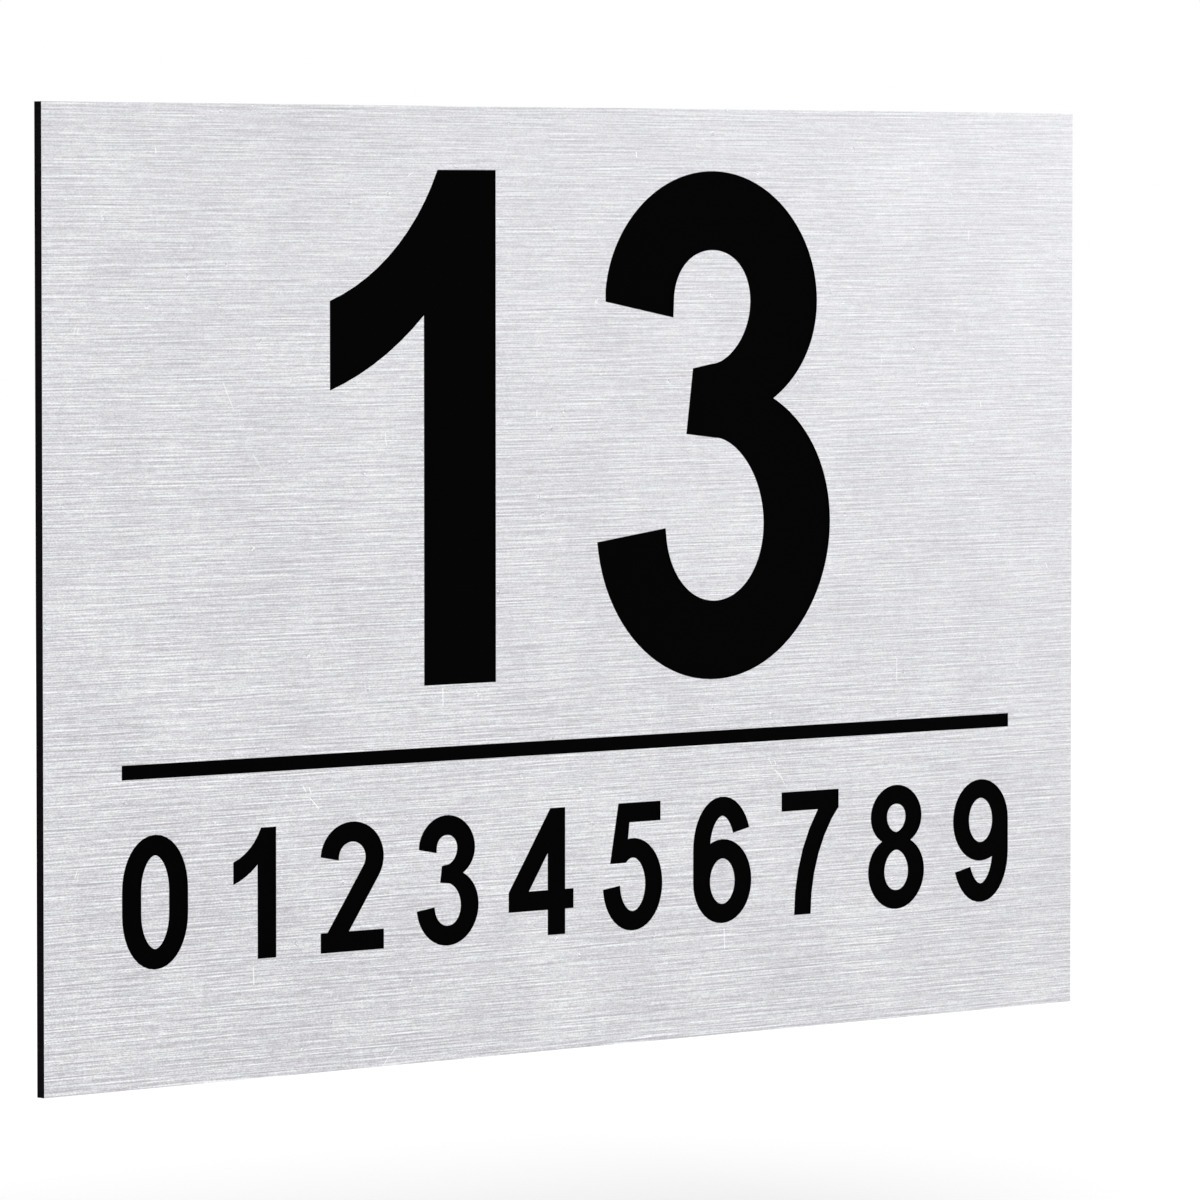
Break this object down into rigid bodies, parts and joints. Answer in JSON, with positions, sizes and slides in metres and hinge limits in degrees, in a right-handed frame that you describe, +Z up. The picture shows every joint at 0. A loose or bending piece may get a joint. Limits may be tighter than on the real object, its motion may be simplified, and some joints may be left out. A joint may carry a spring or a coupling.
{
  "type": "house number plate",
  "caption": "Flat brushed house number plate with two large engraved black numerals above a rule and a row of digits.",
  "frame": {"origin": "centre of the plate's back face, which lies against the wall", "axes": "+X to the plate's right as it is read, +Z up, and the front looks towards -Y"},
  "size_m": [0.3, 0.0022, 0.2],
  "materials": {
    "base_sheet": "matt black sheet",
    "face_layer": "fine level brushing, satin"
  },
  "bodies": {
    "root": {"base_sheet": "base_sheet", "face_layer": "face_layer"}
  },
  "joints": []
}
